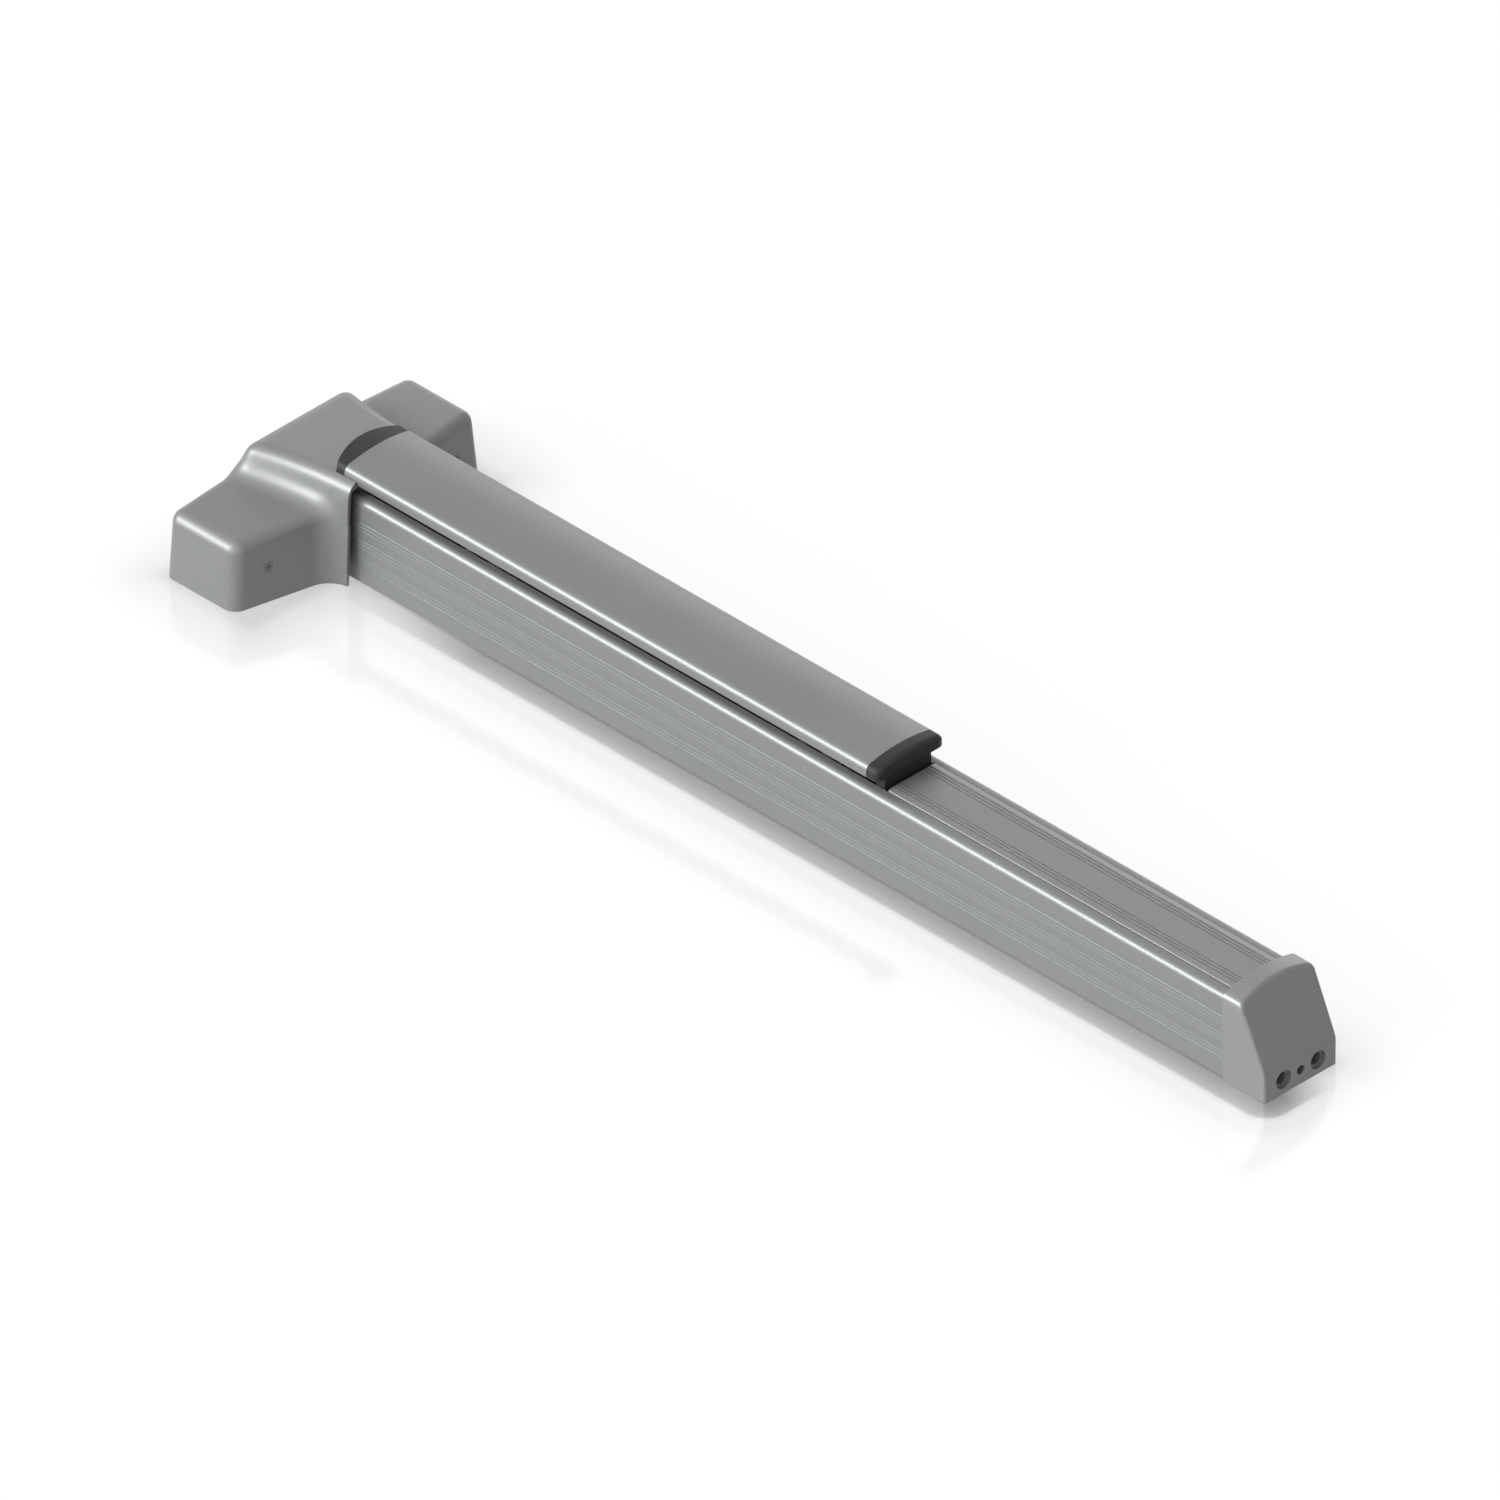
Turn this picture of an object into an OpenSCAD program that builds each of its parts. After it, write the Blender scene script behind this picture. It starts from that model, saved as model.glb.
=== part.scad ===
// Rim panic bar, lying with its door face on Z = 0.
// +X runs along the bar from the latch head to the end cap, and +Z points away from the door.
// The origin is the centre of the head's four door screws, on the door face.

/* [Rail] */
// Distance from the origin to the end cap's outer face
end_x = 809; // [700:1:1100]
// Width of the rail
rail_w = 56.2; // [50:0.1:70]
// Height of the rail's lips above the door
rail_h = 60; // [56:0.5:64]
// Thickness of the rail's walls
rail_wall = 2.6; // [2:0.1:3.5]
// Width of the slot between the lips
slot_w = 40.4; // [36:0.1:42]
// Outer corner radius of the rail
rail_r = 5; // [3:0.5:6]

/* [Push bar] */
// Where the aluminium bar starts
bar_x0 = 32.5; // [30:0.5:40]
// Where the aluminium bar ends
bar_x1 = 471.4; // [400:0.1:600]
// Width of the push bar
bar_w = 56.4; // [50:0.1:70]
// Height of the bar's crown above the door
bar_top = 80.5; // [78:0.5:84]
// Height of the bar's underside above the door
bar_low = 68; // [67:0.5:69]
// Wall of the push bar
bar_wall = 2.2; // [1.8:0.1:2.6]
// Travel of the bar
travel = 7.5; // [4:0.5:7.5]

/* [Head] */
// Latch side face of the head
head_x0 = -42.7; // [-46:0.1:-38]
// Open end of the head, around the rail
head_x1 = 43; // [40:0.5:50]
// Half of the head's length across the bar
head_y = 104.7; // [98:0.1:115]
// Wall of the head cover
cover_wall = 2.2; // [1.8:0.1:3]
// Radius of the edges of the cover's centre block
block_round = 10; // [6:0.5:12]
// Radius of the edges of the cover's wings
wing_round = 7.3; // [6:0.1:10]
// Radius of the hollow between wing and centre block
cover_valley = 13; // [8:0.5:17]
// Spacing of the door screws along the bar
door_hole_x = 25.4; // [20:0.1:28]
// Spacing of the door screws across the bar
door_hole_y = 120; // [100:1:130]

/* [Mechanism] */
// Place of the front crank's pivot
front_x = 130; // [110:1:160]
// Place of the rear crank's pivot
rear_x = 410; // [380:1:415]
// Height of the crank pivots
crank_z = 36.3; // [35:0.1:38]
// Arm that the bar pushes
push_arm = 20; // [18:0.5:22]
// Angle that the latch bolt turns
latch_turn = 38; // [30:1:38]
// Radius at which the link pulls the latch bolt
latch_arm = 14; // [13:0.5:15]

/* [Hidden] */
$fn = 48;
PLATE = 3;
RUN = 0.05;
PIN_R = 2.5;
SMALL_PIN_R = 2;
SCREW_R = 2;
rail_half = rail_w / 2;
slot_half = slot_w / 2;
rail_x0 = 36;
rail_x1 = end_x - 28;
bar_half = bar_w / 2;
bar_shoulder = bar_top - 2.4;
crank_half_turn = asin(travel / 2 / push_arm);
pull = 2 * latch_arm * sin(latch_turn / 2);
pull_arm = pull / 2 / sin(crank_half_turn);
latch_x = -20;
latch_z = 46;
link_z = crank_z - pull_arm * (1 + cos(crank_half_turn)) / 2;
push_pin = [-push_arm * cos(crank_half_turn), push_arm * sin(crank_half_turn)];
pull_pin = [-pull_arm * sin(crank_half_turn), -pull_arm * cos(crank_half_turn)];
latch_pull_pin = [-latch_arm * sin(latch_turn / 2), -latch_arm * cos(latch_turn / 2)];
crank_places = [front_x, rear_x];
plate_back = head_x0 + 3.7;
door_screws = [for (i = [-1, 1], j = [-1, 1]) [i * door_hole_x / 2, j * door_hole_y / 2]];
splice_screws = [for (x = [20, 30, 46, 54], j = [-1, 1]) [x, j * 13]];
base_screws_at = [for (c = crank_places, dx = [-16, 38], j = [-1, 1]) [c + dx, j * 17]];
tongue_screws = [[end_x - 54, 0], [end_x - 42, 0]];
cap_screw_y = 14.5;
cap_screw_z = 10;
wing_angle = 13.2;
wing_draft = 4;
cover_screw_y = 79;
cover_screw_z = 24;
steel = [0.62, 0.63, 0.64];
zinc = [0.72, 0.7, 0.62];
paint = [0.52, 0.53, 0.54];
black = [0.2, 0.21, 0.21];

// Points of an arc in degrees
function arc(c, r, a0, a1, n = 8) =
    [for (i = [0:n]) c + r * [cos(a0 + (a1 - a0) * i / n), sin(a0 + (a1 - a0) * i / n)]];
function reversed(p) = [for (i = [len(p) - 1:-1:0]) p[i]];
function mirrored(p) = [for (q = reversed(p)) [-q.x, q.y]];

// A YZ profile run along X
module along_x(x0, x1) {
    translate([x0, 0, 0]) rotate([90, 0, 90]) linear_extrude(x1 - x0) children();
}

// An XZ profile run along Y
module along_y(y0, y1) {
    translate([0, y1, 0]) rotate([90, 0, 0]) linear_extrude(y1 - y0) children();
}

module y_rod(x, z, r, y0, y1) {
    translate([x, y1, z]) rotate([90, 0, 0]) cylinder(r = r, h = y1 - y0);
}

// A box given by its lower and upper corners
module block(a, b) {
    translate(a) cube(b - a);
}

// A slot cut across Y, spanning the places of a pin that moves a little
module y_slot(x0, x1, z0, z1, r, y0, y1) {
    for (x = [x0, x1], z = [z0, z1]) y_rod(x, z, r, y0, y1);
    if (x1 > x0) block([x0, y0, z0 - r], [x1, y1, z0 + r]);
    if (z1 > z0) block([x0 - r, y0, z0], [x0 + r, y1, z1]);
}

// A pan head screw pointing down, with its head's underside at z
module pan_screw(p, z, depth) {
    translate([p.x, p.y, z - depth]) cylinder(r = SCREW_R, h = depth + 0.5);
    difference() {
        translate([p.x, p.y, z]) cylinder(r = 3.6, h = 2.2);
        translate([p.x, p.y, z + 1.2]) cube([4.2, 0.9, 2.4], center = true);
        translate([p.x, p.y, z + 2.4]) cube([0.9, 4.2, 2.4], center = true);
        translate([p.x, p.y, z + 2.4]) cube([4.2, 0.9, 2.4], center = true);
    }
}

module holes(places, r, z0, z1) {
    for (p = places) translate([p.x, p.y, z0]) cylinder(r = r, h = z1 - z0);
}

// Three groups of three grooves down each side of the rail
groove_pitch = 2.65;
groove_half = 0.5;
groove_depth = 0.3;
groove_group_z = [41, 28.5, 16.1];
function groove(y, z) =
    [[y, z + groove_half], [y - groove_depth, z], [y, z - groove_half]];
function rail_side() =
    [for (g = groove_group_z, k = [1, 0, -1]) each groove(rail_half, g + k * groove_pitch)];
function rail_right() = concat([[slot_half, rail_h]],
    arc([rail_half - rail_r, rail_h - rail_r], rail_r, 90, 0), rail_side(),
    [[rail_half, 0.8], [rail_half - 0.8, 0]]);
function rail_inside() =
    let (y = rail_half - rail_wall, z = rail_h - rail_wall)
    [[-slot_half, z], [-y, z], [-y, PLATE], [y, PLATE], [y, z], [slot_half, z]];

module rail() {
    color(paint) difference() {
        along_x(rail_x0, rail_x1) polygon(concat(rail_right(), mirrored(rail_right()), rail_inside()));
        holes(splice_screws, SCREW_R, -1, PLATE + 1);
        holes(base_screws_at, SCREW_R, -1, PLATE + 1);
        holes(tongue_screws, SCREW_R, -1, PLATE + 1);
    }
}

// Cover plate that slides in the rail's slot behind the bar
filler_x0 = bar_x1 + 10.2;
filler_x1 = end_x - 30;
filler_top = rail_h + 1.6;
filler_grooves = [for (d = [10.6, 8, 5.4]) slot_half - d];
filler_half = slot_half - 0.4;
filler_foot = rail_half - rail_wall - 1.5;
function filler_right() = concat(
    [for (y = filler_grooves) each [[y - 0.45, filler_top], [y, filler_top - 0.45], [y + 0.45, filler_top]]],
    [[filler_half - 3.6, filler_top], [filler_half, rail_h + 0.8], [filler_half, rail_h - rail_wall - 0.4],
     [filler_foot, rail_h - rail_wall - 0.4], [filler_foot, rail_h - rail_wall - 2.2],
     [filler_half - 2.2, rail_h - rail_wall - 2.2], [filler_half - 2.2, filler_top - 2.2]]);

module filler_plate() {
    color(paint) along_x(filler_x0, filler_x1)
        polygon(concat(filler_right(), mirrored(filler_right())));
}

// The end cap: a flared, crowned section with a face that slopes back
cap_x0 = end_x - 35;
cap_slope = 20.7;
cap_rise = 19;
cap_top = 67.5;
cap_half = rail_half + 2.1;
function cap_section(g) =
    let (base = cap_half - g, side = cap_half + 1 - g, low = -0.01 * g)
    let (c = cap_half - 3.2 - g, edge = cap_top - 3.9 - g, top = cap_top - g)
    let (r = (c * c + (top - edge) * (top - edge)) / (2 * (top - edge)), a = asin(c / r))
    let (right = concat(arc([0, top - r], r, 90, 90 - a, 10),
        arc([side - 3.5, edge - 4.6], 3.5, 60, 0, 5), [[base, low]]))
    concat(right, mirrored(right));
function cap_side(g) =
    [[cap_x0, -1], [end_x - g, -1], [end_x - g, cap_rise - 0.4 * g],
     [end_x - cap_slope - g, 64 - 0.4 * g], [end_x - cap_slope - g - 2, 70], [cap_x0, 70]];

module cap_form(g, x0) {
    intersection() {
        along_x(x0, end_x + 1) polygon(cap_section(g));
        along_y(-cap_half - 10, cap_half + 10) polygon(cap_side(g));
        linear_extrude(80) let (w = cap_half + 10, y = cap_half - 2.7 - g)
            polygon(concat([[x0, w], [x0, -w], [end_x - g - 2, -w]],
                arc([end_x - g - 3, -y], 3, -60, 0, 4), arc([end_x - g - 3, y], 3, 0, 60, 4),
                [[end_x - g - 2, w]]));
    }
}

// Right half of the hole that the rail and the filler plate go through
function rail_hole() = concat([[slot_half + 0.1, filler_top + 0.5], [slot_half + 0.1, rail_h + 0.4]],
    arc([rail_half - rail_r, rail_h - rail_r], rail_r + 0.4, 90, 0), [[rail_half + 0.4, -1]]);

module end_cap() {
    color(paint) difference() {
        union() {
            difference() {
                cap_form(0, cap_x0);
                translate([0, 0, -0.01]) cap_form(2, cap_x0 + 2);
                block([cap_x0 + 2, 5.2 - cap_half, -1], [end_x - 2, cap_half - 5.2, 8]);
            }
            for (j = [-1, 1]) intersection() {
                translate([end_x - 14, j * cap_screw_y, cap_screw_z]) rotate([0, 90, 0])
                    cylinder(r = 7.6, h = 13);
                block([cap_x0, 1.2 - cap_half, 0], [end_x - 1, cap_half - 1.2, 40]);
            }
            translate([end_x - 12, 0, cap_screw_z]) rotate([0, 90, 0]) cylinder(r = 4.6, h = 11);
        }
        along_x(cap_x0 - 1, cap_x0 + 3) polygon(concat(rail_hole(), mirrored(rail_hole())));
        for (j = [-1, 1]) translate([end_x, j * cap_screw_y, cap_screw_z]) rotate([0, -90, 0]) {
            translate([0, 0, -1]) cylinder(r = 6.3, h = 3.5);
            translate([0, 0, -1]) cylinder(r = 4.3, h = 13);
            translate([0, 0, -1]) cylinder(r = 2.3, h = 16);
        }
        translate([end_x + 1, 0, cap_screw_z]) rotate([0, -90, 0]) cylinder(r = 3.1, h = 11);
    }
}

module end_cap_screws() {
    color(steel) for (j = [-1, 1]) translate([end_x - 12, j * cap_screw_y, cap_screw_z]) rotate([0, 90, 0])
        difference() {
            union() {
                cylinder(r = 3.9, h = 2.6);
                translate([0, 0, -9]) cylinder(r = SCREW_R, h = 9.5);
            }
            translate([0, 0, 2.4]) cube([4.4, 1, 2.4], center = true);
            translate([0, 0, 2.4]) cube([1, 4.4, 2.4], center = true);
        }
}

// Bracket on the door under the end cap, with a tongue inside the rail
bracket_y = cap_half - 3.2;
bracket_holes = [for (j = [-1, 1]) [end_x - 21, j * 16]];

module end_bracket() {
    color(steel) difference() {
        union() {
            block([end_x - 27.5, -bracket_y, 0], [end_x - 14, bracket_y, PLATE]);
            block([end_x - 17, 5 - bracket_y, 0], [end_x - 14, bracket_y - 5, 20]);
            block([end_x - 60, -9, PLATE], [end_x - 22, 9, PLATE + 2.5]);
        }
        holes(bracket_holes, 2.8, -1, PLATE + 1);
        holes(tongue_screws, SCREW_R + 0.2, 0, PLATE + 3);
        for (j = [-1, 1]) translate([end_x - 18, j * cap_screw_y, cap_screw_z])
            rotate([0, 90, 0]) cylinder(r = SCREW_R, h = 6);
    }
}

module tongue_screws() {
    color(steel) for (p = tongue_screws) pan_screw(p, PLATE + 2.5, 5);
}

// The head cover's outer form: distances to the planes of two drafted blocks, rounded together
function rounded(d, r) = min(max(d) + r, 0) + norm([for (q = d) max(q + r, 0)]) - r;
function wing_form(x, y, z) = rounded([
    head_x0 - x,
    x - (15.5 + 0.234 * (105 - y) - 0.07 * z),
    y - (head_y - end_draft * z),
    z - (44.5 + 0.0743 * (105 - y))], wing_round);
function centre_form(x, y, z) = let (back = 43 - min(x, 43)) rounded([
    head_x0 + 0.054 * z - x,
    y - (36.4 + 0.00163 * back * back - 0.015 * z),
    z - (72.5 - 0.059 * back),
    x - 58], block_round);
function cover_form(x, y, z) =
    let (a = centre_form(x, abs(y), z), b = wing_form(x, abs(y), z), r = cover_valley)
    max(r, min(a, b)) - norm([max(r - a, 0), max(r - b, 0)]);

// A point of the cover on the ray at angle t in the station that meets the door face at y
core_x = -8;
end_draft = 0.084;
function station_point(s, t, d) =
    let (z = d * sin(t)) [core_x + d * cos(t), s * (1 - end_draft * z / head_y), z];
function reach(s, t, inset, lo = 2, hi = 130, n = 17) =
    let (m = (lo + hi) / 2, p = station_point(s, t, m))
    n == 0 ? p : cover_form(p.x, p.y, p.z) + inset < 0 ? reach(s, t, inset, m, hi, n - 1)
                                                        : reach(s, t, inset, lo, m, n - 1);
half_stations = [6, 14, 21, 25, 28, 30.5, 33, 35, 37, 39, 41, 43.2, 45.6, 48.4, 52, 57, 64, 74, 86, 93,
    97, 99.5, 101.5, 102.9, 103.8, 104.35, 104.63];
function stations(last) = [for (i = [-1, 1], s = i < 0 ? reversed(half_stations) : half_stations)
    i * s * last / half_stations[len(half_stations) - 1]];
ray_angles = concat([0, 8, 16, 22, 27], [for (t = [31:4:75]) t], [84, 93, 101],
    [for (t = [107:4:135]) t], [143, 155, 168, 180]);

function skin(inset, last) =
    [for (s = stations(last)) for (t = ray_angles) reach(s, t, inset)];

// Joins two skins of n stations and m rays into one shell that is open below
function shell_faces(n, m) =
    let (o = n * m)
    concat(
        [for (i = [0:n - 2], j = [0:m - 2]) each
            [[i * m + j, (i + 1) * m + j, (i + 1) * m + j + 1], [i * m + j, (i + 1) * m + j + 1, i * m + j + 1]]],
        [for (i = [0:n - 2], j = [0:m - 2]) each
            [[o + (i + 1) * m + j + 1, o + (i + 1) * m + j, o + i * m + j],
             [o + i * m + j + 1, o + (i + 1) * m + j + 1, o + i * m + j]]],
        [for (i = [0:n - 2]) each
            [[i * m, o + i * m, o + (i + 1) * m], [i * m, o + (i + 1) * m, (i + 1) * m]]],
        [for (i = [0:n - 2]) each
            [[(i + 1) * m - 1, (i + 2) * m - 1, o + (i + 2) * m - 1],
             [(i + 1) * m - 1, o + (i + 2) * m - 1, o + (i + 1) * m - 1]]],
        [for (j = [0:m - 3]) [0, j + 1, j + 2]], [[0, m - 1, o + m - 1], [0, o + m - 1, o]],
        [for (j = [0:m - 3]) [o, o + j + 2, o + j + 1]],
        [for (j = [0:m - 3]) [(n - 1) * m, (n - 1) * m + j + 2, (n - 1) * m + j + 1]],
        [[n * m - 1, (n - 1) * m, o + (n - 1) * m], [n * m - 1, o + (n - 1) * m, o + n * m - 1]],
        [for (j = [0:m - 3]) [o + (n - 1) * m, o + (n - 1) * m + j + 1, o + (n - 1) * m + j + 2]]);

module cover_shell() {
    n = 2 * len(half_stations);
    polyhedron(concat(skin(0, head_y - 0.07), skin(cover_wall, head_y - cover_wall)),
        shell_faces(n, len(ray_angles)));
}

// Places a child at a cover screw, with its +X along the face's outward normal
module at_cover_screw(i, j) {
    front_x0 = 15.5 + 0.234 * (105 - cover_screw_y) - 0.07 * cover_screw_z;
    if (i > 0) translate([front_x0, j * cover_screw_y, cover_screw_z])
        rotate([0, -wing_draft, j * wing_angle]) children();
    else translate([head_x0, j * cover_screw_y, cover_screw_z]) rotate([0, 0, 180]) children();
}

// Plan of the bar's bowed head end, used for the cap and for the cover's cut-out
bow = 7.4;
bow_r = (bar_half * bar_half + bow * bow) / (2 * bow);
bow_half_angle = asin(bar_half / bow_r);
head_cap_x = 18.6;
function bow_plan(g, x1) = concat(
    arc([head_cap_x + bow_r, 0], bow_r + g, 180 - bow_half_angle, 180 + bow_half_angle, 16),
    [[x1, -bar_half - g], [x1, bar_half + g]]);

module head_cover() {
    color(paint) difference() {
        cover_shell();
        block([head_x1, -60, -1], [80, 60, 90]);
        translate([0, 0, 50]) linear_extrude(40) polygon(bow_plan(0.6, 60));
        block([-60, -16, -1], [-33, 16, 51.5]);
        for (i = [-1, 1], j = [-1, 1]) at_cover_screw(i, j) rotate([0, 90, 0]) {
            translate([0, 0, -6]) cylinder(r = 2.3, h = 10);
            translate([0, 0, -1.7]) cylinder(r1 = 2.3, r2 = 4.2, h = 1.9);
            translate([0, 0, 0.19]) cylinder(r = 4.2, h = 3);
        }
    }
}

module cover_screws() {
    color(steel) for (i = [-1, 1], j = [-1, 1]) at_cover_screw(i, j) rotate([0, 90, 0]) difference() {
        union() {
            translate([0, 0, -8.5]) cylinder(r = SCREW_R, h = 8);
            translate([0, 0, -1.9]) cylinder(r1 = 2, r2 = 3.9, h = 1.8);
        }
        cube([3.8, 0.8, 1.8], center = true);
        cube([0.8, 3.8, 1.8], center = true);
    }
}

// Right half of the plate's outline, its front edge following the wing of the cover
function plate_front(y) = 15.5 + 0.234 * (105 - y) - cover_wall - 3;
plate_y = head_y - 6;
function plate_right() =
    [[plate_back, plate_y], [plate_front(plate_y), plate_y], [plate_front(29), 29], [rail_x0, 29]];

module chassis_plate() {
    color(steel) difference() {
        union() {
            linear_extrude(PLATE)
                polygon(concat(plate_right(), [for (p = reversed(plate_right())) [p.x, -p.y]]));
            for (j = [-1, 1]) {
                block([plate_back, j * cover_screw_y - 8, 0], [plate_back + 2, j * cover_screw_y + 8, 33]);
                intersection() {
                    at_cover_screw(1, j) block([-5.2, -8, -30], [-3.2, 8, 8]);
                    block([0, -99, 0], [40, 99, 60]);
                }
                intersection() {
                    at_cover_screw(1, j) block([-20, -8, -40], [-3.2, 8, 8]);
                    block([0, -99, 0], [40, 99, PLATE]);
                }
            }
        }
        block([-40, -16, -1], [-28, 16, PLATE + 1]);
        holes(door_screws, 3.4, -1, PLATE + 1);
        holes(splice_screws, SCREW_R, -1, PLATE + 1);
        holes(frame_rivets, SCREW_R, -1, PLATE + 1);
        for (i = [-1, 1], j = [-1, 1]) at_cover_screw(i, j) rotate([0, 90, 0])
            translate([0, 0, -12]) cylinder(r = SCREW_R, h = 14);
    }
}

module splice_plate() {
    color(steel) difference() {
        block([14, -20, PLATE], [60, 20, PLATE + 2.5]);
        holes(splice_screws, SCREW_R + 0.2, 0, PLATE + 3);
    }
}

module splice_screws() {
    color(steel) for (p = splice_screws) pan_screw(p, PLATE + 2.5, 5);
}

// Two ears carry the latch pin
ear_in = 14.5;
ear_out = 17;
frame_rivets = [for (x = [-22, -4], j = [-1, 1]) [x, j * 22]];

module latch_frame() {
    color(steel) difference() {
        union() {
            block([-27, -27, PLATE], [2, -ear_in, PLATE + 2]);
            block([-27, ear_in, PLATE], [2, 27, PLATE + 2]);
            block([-8, -27, PLATE], [2, 27, PLATE + 2]);
            for (j = [-1, 1]) along_y(j > 0 ? ear_in : -ear_out, j > 0 ? ear_out : -ear_in)
                polygon(concat([[-27, PLATE], [2, PLATE], [2, 24]],
                    arc([latch_x, latch_z], 8.5, 0, 180, 12), [[-28.5, 30], [-27, 24]]));
        }
        y_rod(latch_x, latch_z, 3, -30, 30);
        holes(frame_rivets, SCREW_R, 0, 10);
    }
}

module latch_frame_rivets() {
    color(steel) for (p = frame_rivets) {
        translate([p.x, p.y, 0.2]) cylinder(r = SCREW_R, h = 5);
        translate([p.x, p.y, PLATE + 2]) cylinder(r = 3.4, h = 1.3);
    }
}

module latch_pin() {
    color(steel) union() {
        y_rod(latch_x, latch_z, 3, -18.5, 18.5);
        for (j = [-1, 1]) y_rod(latch_x, latch_z, 4.6, j > 0 ? ear_out : -18.6, j > 0 ? 18.6 : -ear_out);
    }
}

// The pullman latch bolt, thrown out
bolt_half = 9.5;
nose_x = -60;

module latch_bolt() {
    color(zinc) difference() {
        union() {
            along_y(-bolt_half, bolt_half) polygon([[nose_x, 24.5], [nose_x, 28], [-48, 41.5], [-40, 48.5],
                [-22, 53.7], [-12.3, 44], [-20.3, 31.5], [-24, 28.4], [-30, 26.5], [-44, 24.5]]);
            y_rod(latch_x, latch_z, 8, -bolt_half, bolt_half);
            y_rod(latch_x + latch_pull_pin.x, latch_z + latch_pull_pin.y, 4.5, -bolt_half, bolt_half);
        }
        y_rod(latch_x, latch_z, 3 + RUN, -20, 20);
        y_rod(latch_x + latch_pull_pin.x, latch_z + latch_pull_pin.y, SMALL_PIN_R, -20, 20);
        difference() {
            block([-33, -2.1, 10], [10, 2.1, 56]);
            y_rod(latch_x, latch_z, 8.2, -20, 20);
        }
    }
}

module latch_pull_pin() {
    color(steel) y_rod(latch_x + latch_pull_pin.x, latch_z + latch_pull_pin.y, SMALL_PIN_R,
        -bolt_half, bolt_half);
}

module deadlatch() {
    color(zinc) difference() {
        union() {
            along_y(10, 14) polygon([[-54, 29], [-54, 34], [-44, 45], [-22, 52.6], [-13.5, 43],
                [-22, 38.5], [-36, 30]]);
            y_rod(latch_x, latch_z, 7, 10, 14);
        }
        y_rod(latch_x, latch_z, 3 + RUN, 0, 20);
    }
}

// A coil of round wire as one tube: its turns, their radius and the wire's radius
module coil(turns, r, wire, length, per_turn = 16, sides = 6) {
    n = turns * per_turn;
    pitch = length / turns;
    ring = [for (i = [0:n], k = [0:sides - 1])
        let (a = 360 * i / per_turn, b = 360 * k / sides, q = r + wire * cos(b))
        [q * cos(a), q * sin(a), pitch * i / per_turn + wire * sin(b)]];
    polyhedron(ring, concat(
        [for (i = [0:n - 1], k = [0:sides - 1]) let (l = (k + 1) % sides)
            [i * sides + k, (i + 1) * sides + k, (i + 1) * sides + l]],
        [for (i = [0:n - 1], k = [0:sides - 1]) let (l = (k + 1) % sides)
            [i * sides + k, (i + 1) * sides + l, i * sides + l]],
        [for (k = [1:sides - 2]) [0, k, k + 1]],
        [for (k = [1:sides - 2]) [n * sides, n * sides + k + 1, n * sides + k]]));
}

module latch_spring() {
    color(steel) translate([latch_x, -10.3, latch_z]) rotate([90, 0, 0]) coil(3, 5, 0.5, 3.1);
}

// Flat link on edge, from the rear crank to the latch bolt
module drive_link() {
    y = 1.5;
    px = latch_x + latch_pull_pin.x;
    pz = latch_z + latch_pull_pin.y;
    color(steel) difference() {
        union() {
            block([-3, -y, link_z - 4.7], [rear_x + 6, y, link_z + 4.8]);
            block([-3, -y, link_z - 4.7], [7, y, pz + 4.4]);
            block([px - 5, -y, pz - 5], [7, y, pz + 4.4]);
        }
        y_slot(px, px, latch_z - latch_arm, pz, SMALL_PIN_R + RUN, -5, 5);
        for (c = crank_places) y_slot(c + pull_pin.x, c + pull_pin.x, crank_z - pull_arm,
            crank_z + pull_pin.y, SMALL_PIN_R + RUN, -5, 5);
        for (x = [180:45:360]) y_rod(x, link_z, 2.5, -5, 5);
    }
}

// Base with two cheeks for the crank shaft, a spring seat and a stop
cheek_in = 5.5;
cheek_out = 8;
floor_z = PLATE + 2.5;
seat_z = 21;
spring_dx = 19;

module base(c) {
    color(steel) difference() {
        union() {
            block([c - 22, -22, PLATE], [c + 44, 22, floor_z]);
            for (j = [-1, 1]) along_y(j > 0 ? cheek_in : -cheek_out, j > 0 ? cheek_out : -cheek_in)
                polygon([[c - 10, PLATE], [c + 42, PLATE], [c + 42, 54], [c + 31, 54], [c + 31, seat_z],
                    [c + 8, seat_z], [c + 8, 40], [c + 5, 43], [c - 5, 43], [c - 8, 40]]);
            block([c + 11.5, -cheek_out, seat_z - 2.5], [c + 27, cheek_out, seat_z]);
            block([c + 31, -cheek_out, 52], [c + 42, cheek_out, 54.4]);
        }
        y_rod(c, crank_z, PIN_R, -20, 20);
        holes([for (p = base_screws_at) if (abs(p.x - c) < 60) p], SCREW_R + 0.2, 0, 10);
    }
}

module front_base() { base(front_x); }
module rear_base() { base(rear_x); }

module base_screws() {
    color(steel) for (p = base_screws_at) pan_screw(p, floor_z, 5);
}

module crank_shaft(c) {
    color(steel) union() {
        y_rod(c, crank_z, PIN_R, -9.6, 9.6);
        for (j = [-1, 1]) y_rod(c, crank_z, 3.8, j > 0 ? cheek_out : -9.8, j > 0 ? 9.8 : -cheek_out);
    }
}

module front_crank_shaft() { crank_shaft(front_x); }
module rear_crank_shaft() { crank_shaft(rear_x); }

// An arm from the crank's hub to the hole at p, with a round end
module crank_arm(c, p, y0, y1) {
    a = atan2(p.y, p.x);
    translate([c, 0, crank_z]) along_y(y0, y1) rotate(a)
        polygon(concat([[0, 3.6], [0, -3.6]], arc([norm(p), 0], 3.6, -90, 90, 12)));
}

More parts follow.
